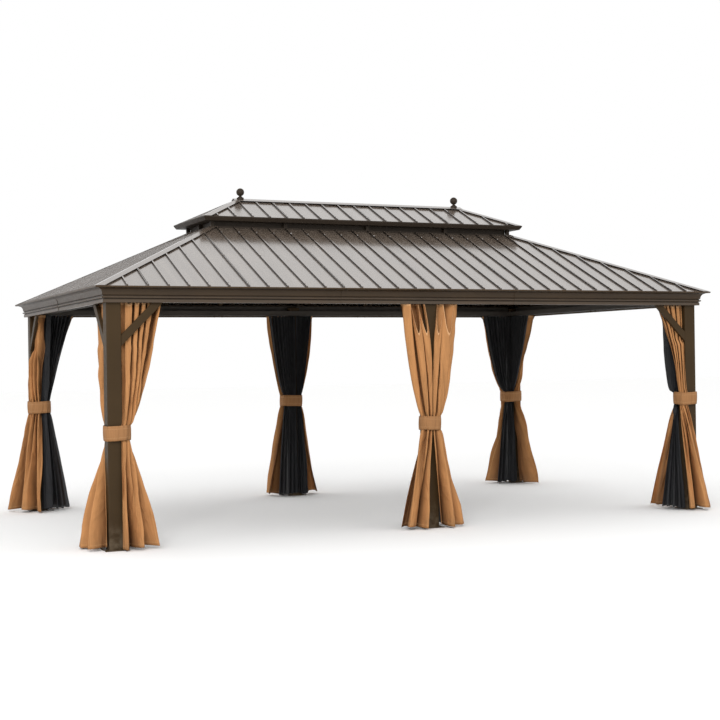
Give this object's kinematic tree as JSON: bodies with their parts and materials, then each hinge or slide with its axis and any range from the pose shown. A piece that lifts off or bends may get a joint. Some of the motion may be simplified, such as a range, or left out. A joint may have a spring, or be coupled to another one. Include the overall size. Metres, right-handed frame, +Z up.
{
  "type": "hardtop gazebo",
  "caption": "Open metal gazebo with a ribbed hip roof in two vented tiers on posts, a moulded cornice, and tied-back curtains and netting.",
  "frame": {"origin": "on the ground under the middle of the roof", "axes": "+X along the long side, left to right seen from the front; +Y from the front to the back; +Z up"},
  "size_m": [6, 3.6, 3.1594],
  "materials": {
    "frame_paint": "satin powder coat, dark bronze brown",
    "roof_paint": "satin painted sheet, brown",
    "curtain_cloth": "woven polyester, tan",
    "netting_cloth": "fine knitted mesh, black"
  },
  "bodies": {
    "root": {"front_left_post": "frame_paint", "front_middle_post": "frame_paint", "front_right_post": "frame_paint", "back_left_post": "frame_paint", "back_middle_post": "frame_paint", "back_right_post": "frame_paint", "base_plates": "frame_paint", "front_cornice": "frame_paint", "right_cornice": "frame_paint", "back_cornice": "frame_paint", "left_cornice": "frame_paint", "perimeter_beams": "frame_paint", "curtain_rails": "frame_paint", "knee_braces": "frame_paint", "hip_rafters": "frame_paint", "common_rafters": "frame_paint", "purlins": "frame_paint", "vent_curb": "frame_paint", "vent_struts": "frame_paint", "vent_screens": "frame_paint", "upper_eave_frame": "frame_paint", "upper_hip_rafters": "frame_paint", "ridge_beam": "frame_paint", "upper_eave_trim": "frame_paint", "front_lower_roof": "roof_paint", "right_lower_roof": "roof_paint", "back_lower_roof": "roof_paint", "left_lower_roof": "roof_paint", "lower_hip_caps": "roof_paint", "front_upper_roof": "roof_paint", "right_upper_roof": "roof_paint", "back_upper_roof": "roof_paint", "left_upper_roof": "roof_paint", "upper_hip_caps": "roof_paint", "ridge_cap": "roof_paint", "finials": "roof_paint", "front_curtains": "curtain_cloth", "right_curtains": "curtain_cloth", "back_curtains": "curtain_cloth", "left_curtains": "curtain_cloth", "curtain_ties": "curtain_cloth", "front_netting": "netting_cloth", "right_netting": "netting_cloth", "back_netting": "netting_cloth", "left_netting": "netting_cloth"}
  },
  "joints": []
}
